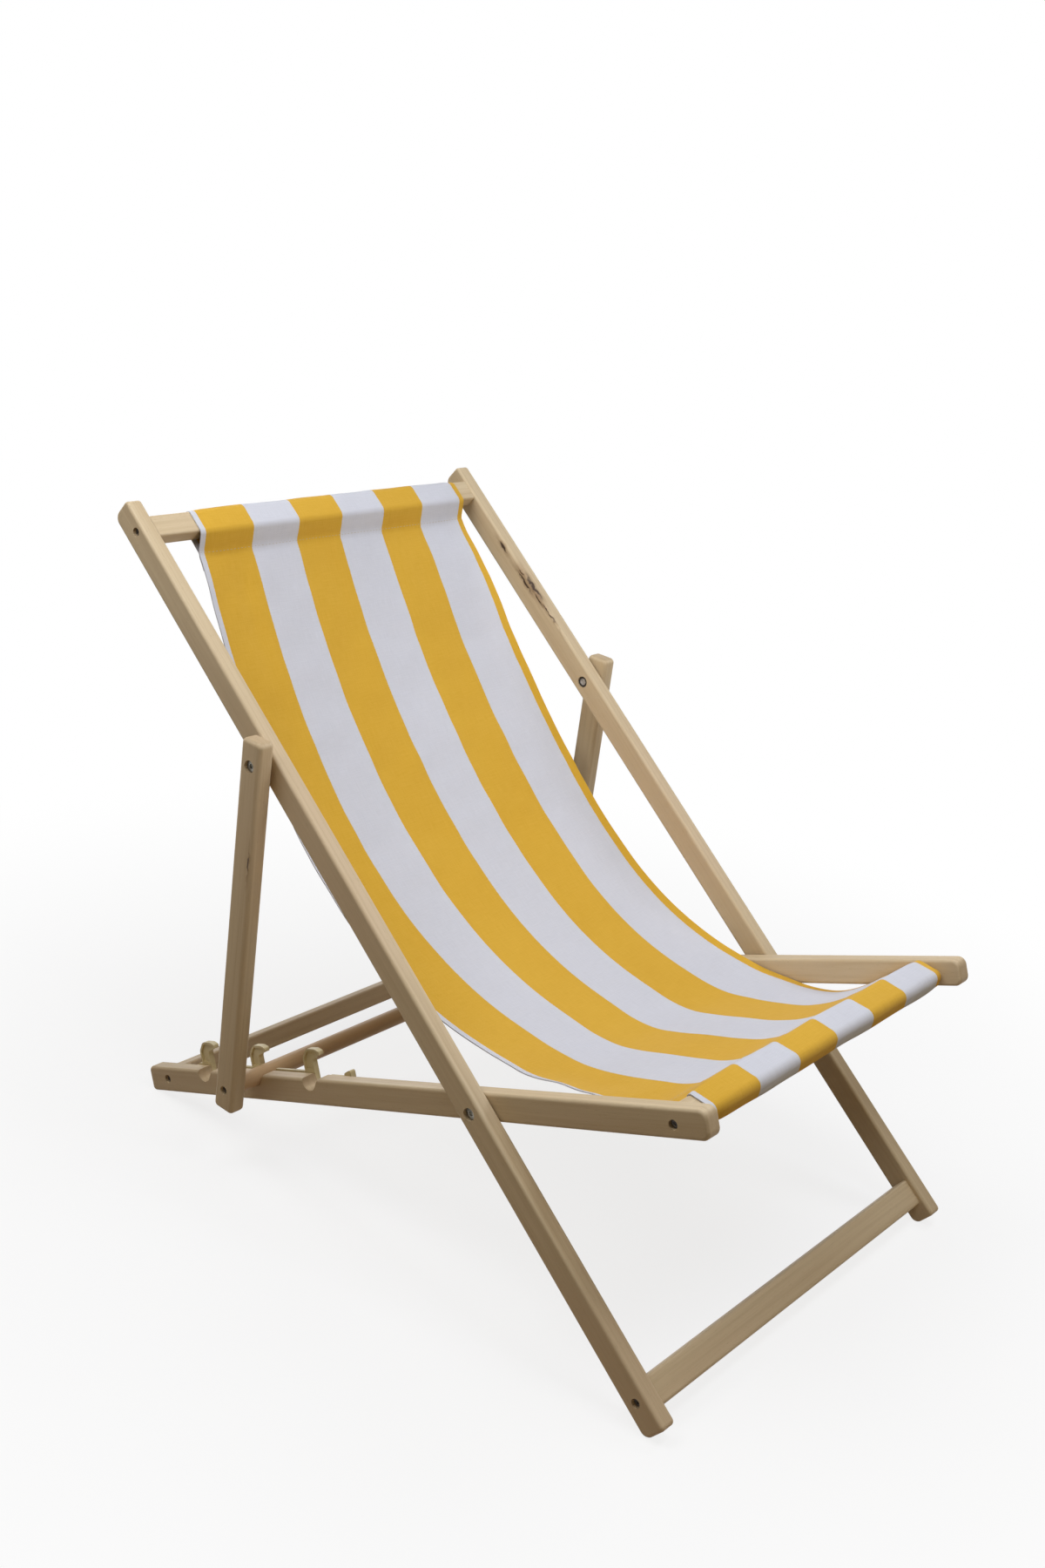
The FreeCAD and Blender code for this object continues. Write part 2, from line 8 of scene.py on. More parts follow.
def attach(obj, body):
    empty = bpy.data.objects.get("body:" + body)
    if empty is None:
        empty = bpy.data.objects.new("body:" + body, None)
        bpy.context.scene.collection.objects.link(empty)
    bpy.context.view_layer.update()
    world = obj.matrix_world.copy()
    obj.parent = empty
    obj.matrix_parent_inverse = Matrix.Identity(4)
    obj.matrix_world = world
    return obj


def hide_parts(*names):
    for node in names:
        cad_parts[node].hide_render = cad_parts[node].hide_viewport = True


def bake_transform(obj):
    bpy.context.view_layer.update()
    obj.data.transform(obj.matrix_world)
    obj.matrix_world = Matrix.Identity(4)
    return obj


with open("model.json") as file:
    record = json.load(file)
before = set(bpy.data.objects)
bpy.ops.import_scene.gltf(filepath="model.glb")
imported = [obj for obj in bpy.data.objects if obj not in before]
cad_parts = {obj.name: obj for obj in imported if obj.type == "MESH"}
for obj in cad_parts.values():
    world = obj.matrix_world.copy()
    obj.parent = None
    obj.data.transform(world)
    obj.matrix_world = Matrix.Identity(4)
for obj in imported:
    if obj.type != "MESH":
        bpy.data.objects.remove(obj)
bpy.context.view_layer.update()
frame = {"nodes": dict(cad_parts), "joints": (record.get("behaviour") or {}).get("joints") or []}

# Back rails: two long square rails of planed beech with eased edges, standing on their round lower ends.
# The wood is pale and fine, straight in the grain, with small flecks and a faint pink or straw tint.
# The right rail has a few dark bark streaks near its top, on its inner and front faces.
nodes = frame["nodes"]
pivots = {joint["name"]: Vector(joint["pos_m"]) for joint in frame["joints"]}
BACK_ANGLE = math.radians(38.8)
PIVOT_ON_BACK = 0.347
back_along = Vector((0, math.cos(BACK_ANGLE), math.sin(BACK_ANGLE)))
back_off = Vector((0, -math.sin(BACK_ANGLE), math.cos(BACK_ANGLE)))
back_foot = pivots["seat_fold"] - back_along * PIVOT_ON_BACK


def calc(tree, operation, *terms):
    """A Math node over sockets and plain numbers, given as its result."""
    step = tree.nodes.new("ShaderNodeMath")
    step.operation = operation
    for socket, term in zip(step.inputs, terms):
        if isinstance(term, (int, float)):
            socket.default_value = term
        else:
            tree.links.new(term, socket)
    return step.outputs[0]


def spread(tree, value, low, high, to_low=0.0, to_high=1.0):
    """Maps a value smoothly from one range to another, and holds it there."""
    step = tree.nodes.new("ShaderNodeMapRange")
    step.interpolation_type = "SMOOTHSTEP"
    tree.links.new(value, step.inputs["Value"])
    for name, number in (("From Min", low), ("From Max", high), ("To Min", to_low), ("To Max", to_high)):
        step.inputs[name].default_value = number
    return step.outputs["Result"]


def vector_calc(tree, operation, *terms):
    """A Vector Math node over sockets and plain vectors, given as its outputs."""
    step = tree.nodes.new("ShaderNodeVectorMath")
    step.operation = operation
    for socket, term in zip(step.inputs, terms):
        if isinstance(term, bpy.types.NodeSocket):
            tree.links.new(term, socket)
        else:
            socket.default_value = term
    return step.outputs


def scaled(tree, vector, factors):
    """Stretches a coordinate along its axes."""
    return vector_calc(tree, "MULTIPLY", vector, factors)["Vector"]


def object_place(tree):
    """The place on the piece itself, as a shader coordinate."""
    return tree.nodes.new("ShaderNodeTexCoord").outputs["Object"]


def cloud(tree, vector, scale, detail=2.0, distortion=0.0):
    """Soft noise between 0 and 1."""
    step = tree.nodes.new("ShaderNodeTexNoise")
    step.inputs["Scale"].default_value = scale
    step.inputs["Detail"].default_value = detail
    step.inputs["Distortion"].default_value = distortion
    tree.links.new(vector, step.inputs["Vector"])
    return step.outputs["Fac"]


def mixed(tree, mask, first, second, mode="MIX"):
    """Lays a second colour over a first by a mask. A colour is a socket or three numbers."""
    step = tree.nodes.new("ShaderNodeMix")
    step.data_type = "RGBA"
    step.blend_type = mode
    mask_socket, first_socket, second_socket = step.inputs[0], step.inputs[6], step.inputs[7]
    if isinstance(mask, (int, float)):
        mask_socket.default_value = mask
    else:
        tree.links.new(mask, mask_socket)
    for socket, colour in ((first_socket, first), (second_socket, second)):
        if isinstance(colour, tuple):
            socket.default_value = colour + (1.0,)
        else:
            tree.links.new(colour, socket)
    return step.outputs[2]


def new_group(name, inputs, outputs):
    """An empty shader node group with named sockets, as the group, its inputs and its outputs."""
    group = bpy.data.node_groups.new(name, "ShaderNodeTree")
    for label, kind in inputs:
        group.interface.new_socket(label, in_out="INPUT", socket_type="NodeSocket" + kind)
    for label, kind in outputs:
        group.interface.new_socket(label, in_out="OUTPUT", socket_type="NodeSocket" + kind)
    return group, group.nodes.new("NodeGroupInput").outputs, group.nodes.new("NodeGroupOutput").inputs


BEECH_PALE = (0.669, 0.539, 0.347)
BEECH_MID = (0.587, 0.453, 0.277)
BEECH_DEEP = (0.456, 0.329, 0.185)
BEECH_PINK = (0.626, 0.472, 0.305)
BEECH_STEAMED = (0.60, 0.395, 0.21)
BEECH_END = (0.388, 0.272, 0.153)
BARK = (0.050, 0.025, 0.012)
BARK_STAIN = (0.33, 0.205, 0.105)
RING_SCALE = 42.0
RING_STRETCH = 0.05
RING_WANDER = 5.0
RING_DETAIL_SCALE = 0.6

# how strongly each layer of the wood's figure can cover the plain wood
PINK_SHARE = 0.55
STEAMED_SHARE = 0.9
RING_SHARE = 0.16
FIBRE_SHARE = 0.22
FLECK_SHARE = 0.28
END_SHARE = 0.5

beech_grain, grain_in, grain_out = new_group(
    "beech_grain",
    (("Along grain", "Vector"), ("End grain", "Float"), ("Steamed", "Float")),
    (("Color", "Color"), ("Roughness", "Float"), ("Height", "Float")),
)
lengthwise = grain_in["Along grain"]


def grain_cloud(stretch, scale, detail, distortion=0.0):
    """Noise that is drawn out along the grain."""
    return cloud(beech_grain, scaled(beech_grain, lengthwise, (1, stretch, 1)), scale, detail, distortion)


bands = grain_cloud(stretch=0.035, scale=70, detail=3, distortion=0.4)
fibres = grain_cloud(stretch=0.02, scale=620, detail=2)
flecks = grain_cloud(stretch=0.16, scale=900, detail=1)
tint = grain_cloud(stretch=0.3, scale=9, detail=2)
rings = beech_grain.nodes.new("ShaderNodeTexWave")
rings.wave_type = "RINGS"
rings.rings_direction = "Y"
rings.inputs["Scale"].default_value = RING_SCALE
rings.inputs["Distortion"].default_value = RING_WANDER
rings.inputs["Detail"].default_value = 2.0
rings.inputs["Detail Scale"].default_value = RING_DETAIL_SCALE
beech_grain.links.new(scaled(beech_grain, lengthwise, (1, RING_STRETCH, 1)), rings.inputs["Vector"])
fleck_marks = spread(beech_grain, flecks, 0.66, 0.74)
wood = mixed(beech_grain, spread(beech_grain, bands, 0.3, 0.75), BEECH_PALE, BEECH_MID)
layers = (
    (spread(beech_grain, tint, 0.45, 0.7), PINK_SHARE, BEECH_PINK),
    (grain_in["Steamed"], STEAMED_SHARE, BEECH_STEAMED),
    (spread(beech_grain, rings.outputs["Fac"], 0.55, 1.0), RING_SHARE, BEECH_DEEP),
    (spread(beech_grain, fibres, 0.45, 0.8), FIBRE_SHARE, BEECH_DEEP),
    (fleck_marks, FLECK_SHARE, BEECH_DEEP),
    (grain_in["End grain"], END_SHARE, BEECH_END),
)
for mask, most, colour in layers:
    wood = mixed(beech_grain, calc(beech_grain, "MULTIPLY", mask, most), wood, colour)
beech_grain.links.new(wood, grain_out["Color"])
beech_grain.links.new(spread(beech_grain, fibres, 0.3, 0.8, 0.46, 0.62), grain_out["Roughness"])
relief = calc(beech_grain, "SUBTRACT", calc(beech_grain, "MULTIPLY", fibres, 0.6), fleck_marks)
beech_grain.links.new(relief, grain_out["Height"])

STREAK_WANDER = 0.007
STREAK_CORE = 0.35
STAIN_FROM = 0.6
STAIN_TO = 2.2
STAIN_SHARE = 0.55
bark_streak, streak_in, streak_out = new_group(
    "bark_streak",
    (("Along grain", "Vector"), ("Middle", "Vector"), ("Half size", "Vector")),
    (("Mask", "Float"), ("Stain", "Float")),
)
wander = cloud(bark_streak, scaled(bark_streak, streak_in["Along grain"], (1, 0.6, 1)), 160, 2)
shift = calc(bark_streak, "MULTIPLY", calc(bark_streak, "SUBTRACT", wander, 0.5), STREAK_WANDER)
sideways = bark_streak.nodes.new("ShaderNodeCombineXYZ")
for axis in ("X", "Z"):
    bark_streak.links.new(shift, sideways.inputs[axis])
moved = vector_calc(bark_streak, "ADD", streak_in["Along grain"], sideways.outputs["Vector"])["Vector"]
from_middle = vector_calc(bark_streak, "SUBTRACT", moved, streak_in["Middle"])["Vector"]
shares = vector_calc(bark_streak, "DIVIDE", from_middle, streak_in["Half size"])["Vector"]
reach = vector_calc(bark_streak, "LENGTH", shares)["Value"]
core = spread(bark_streak, reach, STREAK_CORE, 1.0, 1.0, 0.0)
stain = spread(bark_streak, reach, STAIN_FROM, STAIN_TO, STAIN_SHARE, 0.0)
bark_streak.links.new(core, streak_out["Mask"])
bark_streak.links.new(stain, streak_out["Stain"])


def placed(tree, group, **values):
    """Puts a shader node group into a material and sets or links its inputs by name."""
    step = tree.nodes.new("ShaderNodeGroup")
    step.node_tree = group
    for label, value in values.items():
        socket = step.inputs[label.replace("_", " ")]
        if isinstance(value, bpy.types.NodeSocket):
            tree.links.new(value, socket)
        else:
            socket.default_value = value
    return step.outputs


def new_material(name):
    """A material with its tree and its Principled shader."""
    material = bpy.data.materials.new(name)
    material.use_nodes = True
    return material, material.node_tree, material.node_tree.nodes["Principled BSDF"]


def raise_relief(tree, shader, height, strength, distance):
    """Turns a height into small relief on the shader's normal."""
    bump = tree.nodes.new("ShaderNodeBump")
    bump.inputs["Strength"].default_value = strength
    bump.inputs["Distance"].default_value = distance
    tree.links.new(height, bump.inputs["Height"])
    tree.links.new(bump.outputs["Normal"], shader.inputs["Normal"])


def beech_finish(name, origin, along, turn, streaks=(), steamed=0.0):
    """Oiled beech with its grain along a piece. A streak is a middle and a half size along the grain."""
    material, tree, shader = new_material(name)
    place = tree.nodes.new("ShaderNodeTexCoord").outputs
    lay = tree.nodes.new("ShaderNodeMapping")
    lay.inputs["Rotation"].default_value = turn
    turned = Vector(origin)
    turned.rotate(lay.inputs["Rotation"].default_value)
    lay.inputs["Location"].default_value = -turned
    tree.links.new(place["Object"], lay.inputs["Vector"])
    laid = lay.outputs["Vector"]
    facing = vector_calc(tree, "DOT_PRODUCT", place["Normal"], along)["Value"]
    end_grain = spread(tree, calc(tree, "ABSOLUTE", facing), 0.6, 0.95)
    grain = placed(tree, beech_grain, Along_grain=laid, End_grain=end_grain, Steamed=steamed)
    colour = grain["Color"]
    for middle, half_size in streaks:
        mark = placed(tree, bark_streak, Along_grain=laid, Middle=middle, Half_size=half_size)
        colour = mixed(tree, mark["Stain"], colour, BARK_STAIN)
        colour = mixed(tree, mark["Mask"], colour, BARK)
    tree.links.new(colour, shader.inputs["Base Color"])
    tree.links.new(grain["Roughness"], shader.inputs["Roughness"])
    shader.inputs["Specular IOR Level"].default_value = 0.35
    raise_relief(tree, shader, grain["Height"], 0.25, 0.0004)
    return material


def finish(names, material):
    """Gives CAD nodes their material."""
    for name in names:
        nodes[name].material_slots[0].material = material


# each streak: its middle across, along and off the rail, then its half length and half width
RAIL_STREAKS = (
    ((0.2525, 0.9740, 0.0090), 0.0125, 0.0026),
    ((0.2525, 0.9190, 0.0078), 0.0240, 0.0024),
    ((0.2525, 0.9310, 0.0118), 0.0090, 0.0018),
    ((0.2550, 0.9050, 0.0145), 0.0270, 0.0034),
    ((0.2527, 0.8900, 0.0115), 0.0170, 0.0013),
    ((0.2530, 0.8660, 0.0135), 0.0230, 0.0012),
)
streaks = []
for middle, half_length, half_width in RAIL_STREAKS:
    streaks.append((middle, (half_width, half_length, half_width)))
back_beech = beech_finish("beech_back_rails", back_foot, back_along, (-BACK_ANGLE, 0, 0), streaks)
finish(("back_rail_left", "back_rail_right"), back_beech)

# Seat rails: two beech rails inside the back rails, notched near their rear ends for the prop's dowel.
# They are cut from the same stock and turn on the main pivot bolts.
SEAT_ANGLE = math.radians(22.6)
PIVOT_ON_SEAT = 0.556
seat_along = Vector((0, -math.cos(SEAT_ANGLE), math.sin(SEAT_ANGLE)))
seat_off = Vector((0, math.sin(SEAT_ANGLE), math.cos(SEAT_ANGLE)))
seat_rear = pivots["seat_fold"] - seat_along * PIVOT_ON_SEAT
seat_beech = beech_finish("beech_seat_rails", seat_rear, seat_along, (SEAT_ANGLE, 0, 0))
finish(("seat_rail_left", "seat_rail_right"), seat_beech)

# Prop legs: two short beech legs outside the back rails, hung on the prop's pivot bolts.
# The left leg has a fine drying crack on its outer face, near its front edge.
PROP_ANGLE = math.radians(-89.12)
prop_along = Vector((0, math.cos(PROP_ANGLE), math.sin(PROP_ANGLE)))
PROP_CRACK = ((-0.2955, 0.108, -0.0099), (0.002, 0.018, 0.0014))
prop_turn = (-PROP_ANGLE, 0, 0)
prop_beech = beech_finish("beech_prop_legs", pivots["prop_fold"], prop_along, prop_turn, [PROP_CRACK])
finish(("prop_leg_left", "prop_leg_right"), prop_beech)

# Cross bars and dowel: four flat beech bars and a round one, held by a screw in each end.
# Their grain runs across the chair, and the dowel is of steamed beech, which is redder.
ACROSS = Vector((1, 0, 0))
ACROSS_TURN = (0, 0, math.radians(90))
BAR_PITH = (0, 0.05, 0.02)
DOWEL_PITH = (0, 0.17, 0.1)
bar_beech = beech_finish("beech_cross_bars", BAR_PITH, ACROSS, ACROSS_TURN)
finish(("top_bar", "foot_bar", "seat_front_bar", "seat_rear_bar"), bar_beech)
dowel_beech = beech_finish("beech_dowel", DOWEL_PITH, ACROSS, ACROSS_TURN, steamed=1.0)
finish(("prop_dowel",), dowel_beech)

# Catch strips: pale moulded plastic on the seat rails' inner faces, with a hook behind each notch.
# The moulding is a little cloudy, with a fine grain and a soft sheen.
PLASTIC_PALE = (0.70, 0.595, 0.34)
PLASTIC_DEEP = (0.60, 0.495, 0.265)
catch_plastic, tree, shader = new_material("catch_plastic")
place = object_place(tree)
haze = cloud(tree, place, 60, 3)
moulded = cloud(tree, place, 1400, 1)
cloudy = mixed(tree, spread(tree, haze, 0.3, 0.7), PLASTIC_PALE, PLASTIC_DEEP)
tree.links.new(cloudy, shader.inputs["Base Color"])
tree.links.new(spread(tree, moulded, 0.2, 0.8, 0.38, 0.52), shader.inputs["Roughness"])
raise_relief(tree, shader, moulded, 0.12, 0.0002)
finish(("catch_strip_left", "catch_strip_right"), catch_plastic)

# Pivot bolts, nuts and strip screws: zinc plated steel with faint turning marks.
# Bolt heads are painted darker, as painted recess shade. Nuts and screws are brighter, with a painted
# shadow ring at the nuts' rims.
ZINC_BRIGHT = (0.55, 0.54, 0.52)
ZINC_DULL = (0.29, 0.275, 0.25)
# painted recess shade: the bolts' darker zinc, in two tones
ZINC_RECESS_SHADED = (0.27, 0.255, 0.22)
ZINC_RECESS_SHADED_DEEP = (0.13, 0.12, 0.095)
# the nuts' painted shadow ring: its colour, and how far from the axle it starts and becomes full
RIM_PAINTED_SHADE = (0.055, 0.05, 0.042)
RIM_FROM = 0.0032
RIM_TO = 0.0050


def zinc_finish(name, clean, dull, axles=()):
    """Plated steel between two tones, the duller one rougher, with a painted shadow ring away from the
    axles given, for the shade of the recess wall.
    """
    material, tree, shader = new_material(name)
    place = object_place(tree)
    dulled = cloud(tree, place, 240, 4)
    turned_marks = cloud(tree, scaled(tree, place, (0.1, 1, 1)), 2600, 1)
    colour = mixed(tree, spread(tree, dulled, 0.35, 0.7), clean, dull)
    off_axle = None
    for axle in axles:
        away = vector_calc(tree, "DISTANCE", scaled(tree, place, (0, 1, 1)), axle)["Value"]
        off_axle = away if off_axle is None else calc(tree, "MINIMUM", off_axle, away)
    if axles:
        # a painted shadow ring round each nut's rim, for the shade of its recess wall
        colour = mixed(tree, spread(tree, off_axle, RIM_FROM, RIM_TO), colour, RIM_PAINTED_SHADE)
    tree.links.new(colour, shader.inputs["Base Color"])
    tree.links.new(spread(tree, dulled, 0.3, 0.75, 0.26, 0.48), shader.inputs["Roughness"])
    shader.inputs["Metallic"].default_value = 0.9
    raise_relief(tree, shader, turned_marks, 0.1, 0.0001)
    return material


# the bolts get the darker zinc as painted shade of their recesses
finish(("seat_pivot_bolts", "prop_pivot_bolts"), zinc_finish("zinc_bolts", ZINC_RECESS_SHADED, ZINC_RECESS_SHADED_DEEP))
zinc_nuts = zinc_finish("zinc_nuts", ZINC_BRIGHT, ZINC_DULL, pivots.values())
finish(("seat_pivot_nuts", "prop_pivot_nuts"), zinc_nuts)
finish(("catch_screws",), zinc_finish("zinc_screws", ZINC_BRIGHT, ZINC_DULL))

# Frame screws: cylinder heads of blackened steel with a hexagon socket, sunk in the rails.
# They are a little brown where the blacking has worn.
BLACKED = (0.085, 0.078, 0.072)
BROWNED = (0.20, 0.16, 0.115)
black_screw, tree, shader = new_material("blackened_steel")
place = object_place(tree)
worn = cloud(tree, place, 420, 3)
tree.links.new(mixed(tree, spread(tree, worn, 0.45, 0.75), BLACKED, BROWNED), shader.inputs["Base Color"])
tree.links.new(spread(tree, worn, 0.3, 0.75, 0.36, 0.6), shader.inputs["Roughness"])
shader.inputs["Metallic"].default_value = 0.7
raise_relief(tree, shader, worn, 0.15, 0.0002)
for screwed in ("top_bar", "foot_bar", "seat_front", "seat_rear", "dowel"):
    finish((screwed + "_screws",), black_screw)

# Spacer washers: plain nylon rings on the pivot bolts, between the rails.
# They are slightly yellowed, unevenly.
NYLON_PALE = (0.70, 0.68, 0.61)
NYLON_AGED = (0.60, 0.56, 0.46)
nylon, tree, shader = new_material("washer_nylon")
aged = cloud(tree, object_place(tree), 150, 3)
tree.links.new(mixed(tree, aged, NYLON_PALE, NYLON_AGED), shader.inputs["Base Color"])
tree.links.new(spread(tree, aged, 0.2, 0.8, 0.4, 0.55), shader.inputs["Roughness"])
finish(("seat_pivot_washers", "prop_pivot_washers"), nylon)

# Sling: one length of striped cotton canvas. Each end goes round its bar, from the front at the top and
# from above at the seat, and is sewn down in a loose sleeve, with the turned end left as a flap behind.
# It hangs unevenly: deeper on the left below the top bar, and higher on the left at the seat.
SLING_LEFT = -0.1985
SLING_RIGHT = 0.2290
SLING_WIDTH = SLING_RIGHT - SLING_LEFT
CANVAS_THICK = 0.0012
COLUMNS = 86
SHEET_ROWS = 240
TOP_LAP_ROWS = 3
FRONT_LAP_ROWS = 7
FLAP_ROWS = 6
FLAP_GAP = 0.0018
SLEEVE_HALF_WIDE = 16.1
SLEEVE_HALF_THIN = 11.1
SLEEVE_CORNER = 0.0082
SIDE_STEPS = 4
CORNER_STEPS = 8
TOP_BAR_ON_BACK = (1065, 4)
FRONT_BAR_ON_SEAT = (794, -1)
FRONT_BAR_TURN = math.radians(29)
MM = 0.001


def on_back(along, off):
    """A side view point, from millimetres along a back rail and off its centre line."""
    return back_foot + back_along * (along * MM) + back_off * (off * MM)


def on_seat(along, off):
    """A side view point, from millimetres along a seat rail and off its centre line."""
    return seat_rear + seat_along * (along * MM) + seat_off * (off * MM)


def on_top_bar(along, off):
    """A side view point, from millimetres along and off the top bar's middle."""
    return on_back(TOP_BAR_ON_BACK[0] + along, TOP_BAR_ON_BACK[1] + off)


def on_front_bar(along, off):
    """A side view point, from millimetres along and off the front bar's middle, as the bar is turned."""
    turned_along = seat_along * math.cos(FRONT_BAR_TURN) - seat_off * math.sin(FRONT_BAR_TURN)
    turned_off = seat_off * math.cos(FRONT_BAR_TURN) + seat_along * math.sin(FRONT_BAR_TURN)
    return on_seat(*FRONT_BAR_ON_SEAT) + turned_along * (along * MM) + turned_off * (off * MM)


def straight(first, last):
    """Even steps from one point to another, without the first."""
    return [first.lerp(last, step / SIDE_STEPS) for step in range(1, SIDE_STEPS + 1)]


def sleeve_line(on_bar, way, start, end):
    """The canvas from a start, round a bar's corners in the order that it goes, to an end."""
    corners = [on_bar(along * SLEEVE_HALF_WIDE, off * SLEEVE_HALF_THIN) for along, off in way]
    route = [start] + corners + [end]
    line = [start]
    for before, corner, after in zip(route, route[1:], route[2:]):
        to_before = (before - corner).normalized()
        to_after = (after - corner).normalized()
        half = to_before.angle(to_after) / 2
        enter = corner + to_before * (SLEEVE_CORNER / math.tan(half))
        leave = corner + to_after * (SLEEVE_CORNER / math.tan(half))
        centre = corner + (to_before + to_after).normalized() * (SLEEVE_CORNER / math.sin(half))
        line += straight(line[-1], enter)
        for step in range(1, CORNER_STEPS + 1):
            spoke = (enter - centre).slerp(leave - centre, step / CORNER_STEPS)
            line.append(centre + spoke * SLEEVE_CORNER)
    return line + straight(line[-1], end)


def hung_line(points):
    """A smooth line through points, in even rows."""
    gaps = [(after - before).length for before, after in zip(points, points[1:])]
    slopes = [(points[1] - points[0]) / gaps[0]]
    for index in range(1, len(points) - 1):
        before, after = gaps[index - 1], gaps[index]
        slope_in = (points[index] - points[index - 1]) / before
        slope_out = (points[index + 1] - points[index]) / after
        slopes.append((slope_in * after + slope_out * before) / (before + after))
    slopes.append((points[-1] - points[-2]) / gaps[-1])
    line = []
    for row in range(SHEET_ROWS + 1):
        place = sum(gaps) * row / SHEET_ROWS
        index = 0
        while index < len(gaps) - 1 and place > gaps[index]:
            place -= gaps[index]
            index += 1
        gap = gaps[index]
        t = min(place / gap, 1.0)
        line.append(
            points[index] * (2 * t**3 - 3 * t**2 + 1)
            + slopes[index] * (gap * (t**3 - 2 * t**2 + t))
            + points[index + 1] * (3 * t**2 - 2 * t**3)
            + slopes[index + 1] * (gap * (t**3 - t**2))
        )
    return line


# how the canvas hangs along its left edge, its middle and its right edge: side view points, first in
# millimetres along and off the back rails, then in millimetres along and off the seat rails
LEFT_ON_BACK = (
    (1041, 4), (1034, -6), (1022, -11), (1008, -16.5), (956, -39), (878, -66),
    (792, -87.5), (712, -98.5), (645, -100), (590, -95), (530, -79), (454, -47.5),
)
LEFT_ON_SEAT = (
    (520, 40), (561, 23), (605, 4), (645, -6), (690, -8), (724, -8), (744, -4), (770, 8),
)
MIDDLE_ON_BACK = (
    (1041, 4), (1034, -6), (1024, -10), (1010, -15.5), (953, -36.5), (878, -59.5),
    (792, -78), (712, -89), (648, -92), (590, -89.5), (520, -79), (450, -56),
)
MIDDLE_ON_SEAT = (
    (515, 25), (545, 8), (575, -2), (605, -5), (645, -6), (690, -8), (722, -7), (744, -2.5), (770, 8.5),
)
RIGHT_ON_BACK = (
    (1041, 4), (1034, -5), (1022, -8.5), (1000, -11), (950, -20), (878, -39.5),
    (792, -55), (712, -66), (648, -72), (590, -72.5), (530, -68.5), (448, -48.5),
)
RIGHT_ON_SEAT = (
    (515, 30), (545, 14.5), (575, 1), (605, -8.5), (640, -18.5),
    (680, -22), (715, -14), (744, -2), (770, 8.5),
)

# the corners of a bar in the order that the canvas goes round them, as sides of its width and thickness
TOP_WAY = ((-1, -1), (1, -1), (1, 1), (-1, 1))
FRONT_WAY = ((-1, 1), (1, 1), (1, -1), (-1, -1))


def canvas_line(on_back_points, on_seat_points):
    """The canvas along one line, from flap to flap, and the rows where its hanging part starts and ends."""
    hung = [on_back(*point) for point in on_back_points] + [on_seat(*point) for point in on_seat_points]
    sheet = hung_line(hung)
    low = SHEET_ROWS - FRONT_LAP_ROWS
    top_flap = [point - back_off * FLAP_GAP for point in sheet[TOP_LAP_ROWS:TOP_LAP_ROWS + FLAP_ROWS]]
    front_flap = [point - seat_off * FLAP_GAP for point in sheet[low - FLAP_ROWS:low]]
    top = sleeve_line(on_top_bar, TOP_WAY, top_flap[0], sheet[0])
    front = sleeve_line(on_front_bar, FRONT_WAY, sheet[-1], front_flap[-1])
    first = FLAP_ROWS - 1 + len(top) - 1
    line = top_flap[:0:-1] + top + sheet[1:-1] + front + front_flap[-2::-1]
    return line, first, first + SHEET_ROWS


left_line, _, _ = canvas_line(LEFT_ON_BACK, LEFT_ON_SEAT)
middle_line, first_row, last_row = canvas_line(MIDDLE_ON_BACK, MIDDLE_ON_SEAT)
right_line, _, _ = canvas_line(RIGHT_ON_BACK, RIGHT_ON_SEAT)
cut_place = [0.0]
for before, after in zip(middle_line, middle_line[1:]):
    cut_place.append(cut_place[-1] + (after - before).length)
top_seam_row = first_row + TOP_LAP_ROWS
front_seam_row = last_row - FRONT_LAP_ROWS


def ramp(value, low, high):
    """Rises smoothly from 0 at low to 1 at high."""
    share = min(1.0, max(0.0, (value - low) / (high - low)))
    return share * share * (3 - 2 * share)


# the canvas is drawn out to its full width where it lies on the front bar
FRONT_SPREAD = 0.03
FRONT_SPREAD_LONG = 0.25
front_seam_place = cut_place[front_seam_row]
ROWS = len(middle_line) - 1
bpy.ops.object.select_all(action="DESELECT")
bpy.ops.mesh.primitive_grid_add(x_subdivisions=COLUMNS, y_subdivisions=ROWS, size=1)
sling = bpy.context.active_object
sling.name = "canvas_sling"
cut = sling.data.uv_layers.active
cut.name = "cut"
places = []
for vertex in sling.data.vertices:
    share_across = vertex.co.x + 0.5
    row = round((0.5 - vertex.co.y) * ROWS)
    places.append((share_across, row))
    left_part = (1 - share_across) * (1 - 2 * share_across)
    middle_part = 4 * share_across * (1 - share_across)
    right_part = share_across * (2 * share_across - 1)
    point = left_line[row] * left_part + middle_line[row] * middle_part + right_line[row] * right_part
    drawn_out = ramp(cut_place[row], front_seam_place - FRONT_SPREAD_LONG, front_seam_place)
    width_here = SLING_WIDTH * (1 + FRONT_SPREAD * drawn_out)
    vertex.co = (SLING_RIGHT - width_here * (1 - share_across), point.y, point.z)
for loop in sling.data.loops:
    share_across, row = places[loop.vertex_index]
    cut.data[loop.index].uv = (share_across * SLING_WIDTH, cut_place[row])

# what the loose canvas does by itself: its edges curl up, its left edge is tucked in behind the front bar,
# soft folds run down from the top sleeve, slow waves and small wrinkles go over the sheet,
# and the sleeves are slack and a little puckered at their seams

# each soft fold: its place across the canvas, its width and its height
SOFT_FOLDS = (
    (0.052, 0.013, -0.0030),
    (0.082, 0.020, 0.0022),
    (0.190, 0.024, -0.0016),
    (0.300, 0.022, 0.0014),
)
FOLD_LENGTH = 0.15
WAVE_HIGH = 0.0010
WRINKLE_HIGH = 0.0014
SLACK_HIGH = 0.0011
END_PINCH = 0.0009
PUCKER_HIGH = 0.0006
PUCKER_LONG = 0.012
LEFT_CURL = 0.014
LEFT_CURL_WIDE = 0.060
LEFT_TUCK = 0.009
LEFT_TUCK_WIDE = 0.030
RIGHT_CURL = 0.008
RIGHT_CURL_WIDE = 0.028

